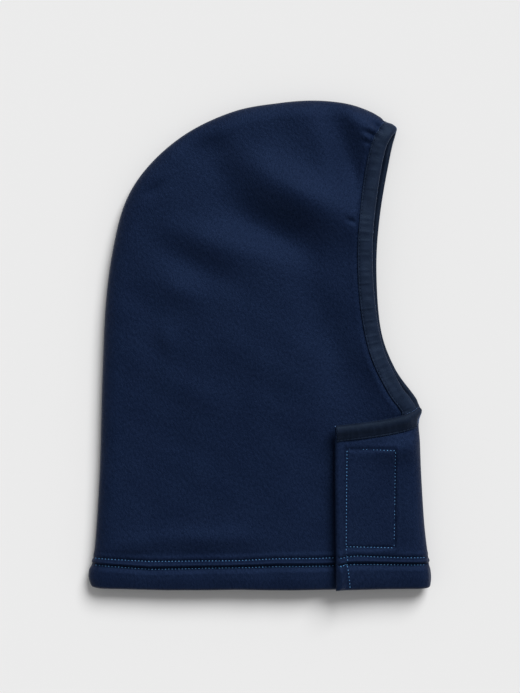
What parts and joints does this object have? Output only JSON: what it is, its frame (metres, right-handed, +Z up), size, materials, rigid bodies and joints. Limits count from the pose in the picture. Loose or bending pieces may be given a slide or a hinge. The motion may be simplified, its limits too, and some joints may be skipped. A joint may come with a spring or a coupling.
{
  "type": "balaclava",
  "caption": "Fleece balaclava lying flat, with a bound face opening and a throat flap that wraps round and closes on the side with hook and loop.",
  "frame": {"origin": "under the middle of the hood's bounding box, on the surface that it lies on", "axes": "+X out of the face opening, +Y towards the crown, +Z up from the surface, out of the wearer's right side"},
  "size_m": [0.2491, 0.3596, 0.0222],
  "materials": {
    "fleece": "matt, brushed",
    "tape": "matt, smooth knit",
    "hook_and_loop": "matt",
    "thread_blue": "satin",
    "thread_navy": "satin"
  },
  "bodies": {
    "hood": {"right_panel": "fleece", "left_panel": "fleece", "right_hem_facing": "fleece", "left_hem_facing": "fleece", "underlap_edge_facing": "fleece", "crown_seam_allowance": "fleece", "face_binding": "tape", "loop_patch": "hook_and_loop", "right_hem_stitch_upper": "thread_blue", "right_hem_stitch_lower": "thread_blue", "left_hem_stitch_upper": "thread_blue", "left_hem_stitch_lower": "thread_blue", "loop_patch_stitching": "thread_navy", "right_binding_stitch": "thread_navy", "left_binding_stitch": "thread_navy"},
    "flap": {"flap_panel": "fleece", "flap_hem_facing": "fleece", "flap_edge_facing": "fleece", "flap_binding": "tape", "hook_patch": "hook_and_loop", "flap_hem_stitch_upper": "thread_blue", "flap_hem_stitch_lower": "thread_blue", "hook_patch_stitching": "thread_blue", "flap_edge_stitch": "thread_blue", "flap_binding_stitch": "thread_navy"}
  },
  "joints": [
    {"name": "flap_peel", "type": "hinge", "parent": "hood", "child": "flap", "pos_m": [0.12265, -0.11275, 0.0082], "axis": [-0.0505, 0.9987, 0], "range_deg": [0, 170]}
  ]
}
